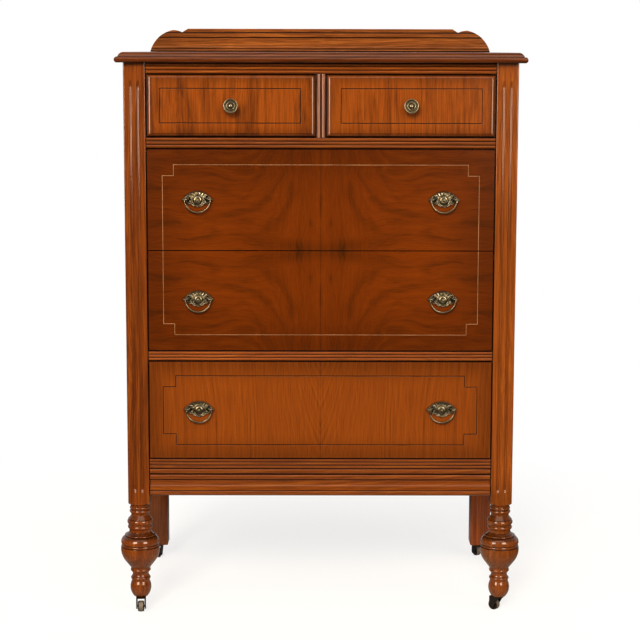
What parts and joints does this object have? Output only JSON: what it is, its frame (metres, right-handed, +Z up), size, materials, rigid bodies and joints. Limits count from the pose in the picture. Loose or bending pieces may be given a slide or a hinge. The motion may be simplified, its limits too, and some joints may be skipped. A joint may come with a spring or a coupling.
{
  "type": "tall chest of drawers",
  "caption": "Tall wooden chest with full-width and half-width drawers, fluted posts, turned front legs on casters, bail pulls and a low shaped gallery.",
  "frame": {"origin": "on the floor under the middle of the outline, at the wheels' lowest points", "axes": "+Z up, -Y towards the drawer fronts, +X to the viewer's right"},
  "size_m": [0.9186, 0.544, 1.3375],
  "materials": {
    "frame_wood": "satin varnish",
    "front_wood": "gloss varnish",
    "figured_veneer": "gloss varnish",
    "inner_wood": "bare",
    "brass": "aged",
    "iron": "dull",
    "wheel": "worn"
  },
  "bodies": {
    "case": {"top_board": "frame_wood", "gallery_board": "frame_wood", "frieze_rail": "frame_wood", "upper_rail": "frame_wood", "middle_rail": "frame_wood", "base_rail": "frame_wood", "apron_moulding": "frame_wood", "center_stile": "frame_wood", "center_divider": "inner_wood", "front_post_left": "frame_wood", "front_post_right": "frame_wood", "rear_post_left": "frame_wood", "rear_post_right": "frame_wood", "side_panel_left": "frame_wood", "side_panel_right": "frame_wood", "back_panel": "inner_wood", "hidden_rails": "frame_wood", "runners_and_guides": "inner_wood", "dust_panels": "inner_wood", "caster_sockets": "iron"},
    "low_drawer": {"low_drawer_front": "front_wood", "low_drawer_sides": "inner_wood", "low_drawer_back": "inner_wood", "low_drawer_bottom": "inner_wood", "low_pull_plates": "brass"},
    "mid_drawer": {"mid_drawer_front": "figured_veneer", "mid_drawer_sides": "inner_wood", "mid_drawer_back": "inner_wood", "mid_drawer_bottom": "inner_wood", "mid_pull_plates": "brass"},
    "top_drawer": {"top_drawer_front": "figured_veneer", "top_drawer_sides": "inner_wood", "top_drawer_back": "inner_wood", "top_drawer_bottom": "inner_wood", "top_pull_plates": "brass"},
    "small_left_drawer": {"small_left_front": "front_wood", "small_left_sides": "inner_wood", "small_left_back": "inner_wood", "small_left_bottom": "inner_wood", "knob_left": "brass"},
    "small_right_drawer": {"small_right_front": "front_wood", "small_right_sides": "inner_wood", "small_right_back": "inner_wood", "small_right_bottom": "inner_wood", "knob_right": "brass"},
    "low_bail_left": {"low_bail_left": "brass"},
    "low_bail_right": {"low_bail_right": "brass"},
    "mid_bail_left": {"mid_bail_left": "brass"},
    "mid_bail_right": {"mid_bail_right": "brass"},
    "top_bail_left": {"top_bail_left": "brass"},
    "top_bail_right": {"top_bail_right": "brass"},
    "caster_fork_fl": {"caster_fork_fl": "iron"},
    "caster_wheel_fl": {"caster_wheel_fl": "wheel"},
    "caster_fork_fr": {"caster_fork_fr": "iron"},
    "caster_wheel_fr": {"caster_wheel_fr": "wheel"},
    "caster_fork_rl": {"caster_fork_rl": "iron"},
    "caster_wheel_rl": {"caster_wheel_rl": "wheel"},
    "caster_fork_rr": {"caster_fork_rr": "iron"},
    "caster_wheel_rr": {"caster_wheel_rr": "wheel"}
  },
  "joints": [
    {"name": "low_drawer_slide", "type": "slide", "parent": "case", "child": "low_drawer", "axis": [0, -1, 0], "range_m": [0, 0.34]},
    {"name": "mid_drawer_slide", "type": "slide", "parent": "case", "child": "mid_drawer", "axis": [0, -1, 0], "range_m": [0, 0.34]},
    {"name": "top_drawer_slide", "type": "slide", "parent": "case", "child": "top_drawer", "axis": [0, -1, 0], "range_m": [0, 0.34]},
    {"name": "small_left_drawer_slide", "type": "slide", "parent": "case", "child": "small_left_drawer", "axis": [0, -1, 0], "range_m": [0, 0.34]},
    {"name": "small_right_drawer_slide", "type": "slide", "parent": "case", "child": "small_right_drawer", "axis": [0, -1, 0], "range_m": [0, 0.34]},
    {"name": "low_bail_left_swing", "type": "hinge", "parent": "low_drawer", "child": "low_bail_left", "pos_m": [-0.2755, -0.2535, 0.4785], "axis": [-1, 0, 0], "range_deg": [-12, 110]},
    {"name": "low_bail_right_swing", "type": "hinge", "parent": "low_drawer", "child": "low_bail_right", "pos_m": [0.2755, -0.2535, 0.4785], "axis": [-1, 0, 0], "range_deg": [-12, 110]},
    {"name": "mid_bail_left_swing", "type": "hinge", "parent": "mid_drawer", "child": "mid_bail_left", "pos_m": [-0.2755, -0.2535, 0.7312], "axis": [-1, 0, 0], "range_deg": [-12, 110]},
    {"name": "mid_bail_right_swing", "type": "hinge", "parent": "mid_drawer", "child": "mid_bail_right", "pos_m": [0.2755, -0.2535, 0.7312], "axis": [-1, 0, 0], "range_deg": [-12, 110]},
    {"name": "top_bail_left_swing", "type": "hinge", "parent": "top_drawer", "child": "top_bail_left", "pos_m": [-0.2755, -0.2535, 0.9558], "axis": [-1, 0, 0], "range_deg": [-12, 110]},
    {"name": "top_bail_right_swing", "type": "hinge", "parent": "top_drawer", "child": "top_bail_right", "pos_m": [0.2755, -0.2535, 0.9558], "axis": [-1, 0, 0], "range_deg": [-12, 110]},
    {"name": "caster_swivel_fl", "type": "hinge", "parent": "case", "child": "caster_fork_fl", "pos_m": [-0.4145, -0.2195, 0.035], "axis": [0, 0, 1], "continuous": true},
    {"name": "wheel_spin_fl", "type": "hinge", "parent": "caster_fork_fl", "child": "caster_wheel_fl", "pos_m": [-0.41366, -0.23147, 0.0125], "axis": [0.9976, 0.0698, 0], "continuous": true},
    {"name": "caster_swivel_fr", "type": "hinge", "parent": "case", "child": "caster_fork_fr", "pos_m": [0.4145, -0.2195, 0.035], "axis": [0, 0, 1], "continuous": true},
    {"name": "wheel_spin_fr", "type": "hinge", "parent": "caster_fork_fr", "child": "caster_wheel_fr", "pos_m": [0.40531, -0.21179, 0.0125], "axis": [-0.6428, -0.766, 0], "continuous": true},
    {"name": "caster_swivel_rl", "type": "hinge", "parent": "case", "child": "caster_fork_rl", "pos_m": [-0.4105, 0.245, 0.035], "axis": [0, 0, 1], "continuous": true},
    {"name": "wheel_spin_rl", "type": "hinge", "parent": "caster_fork_rl", "child": "caster_wheel_rl", "pos_m": [-0.41258, 0.23318, 0.0125], "axis": [0.9848, -0.1736, 0], "continuous": true},
    {"name": "caster_swivel_rr", "type": "hinge", "parent": "case", "child": "caster_fork_rr", "pos_m": [0.4105, 0.245, 0.035], "axis": [0, 0, 1], "continuous": true},
    {"name": "wheel_spin_rr", "type": "hinge", "parent": "caster_fork_rr", "child": "caster_wheel_rr", "pos_m": [0.40543, 0.25588, 0.0125], "axis": [-0.9063, -0.4226, 0], "continuous": true}
  ]
}
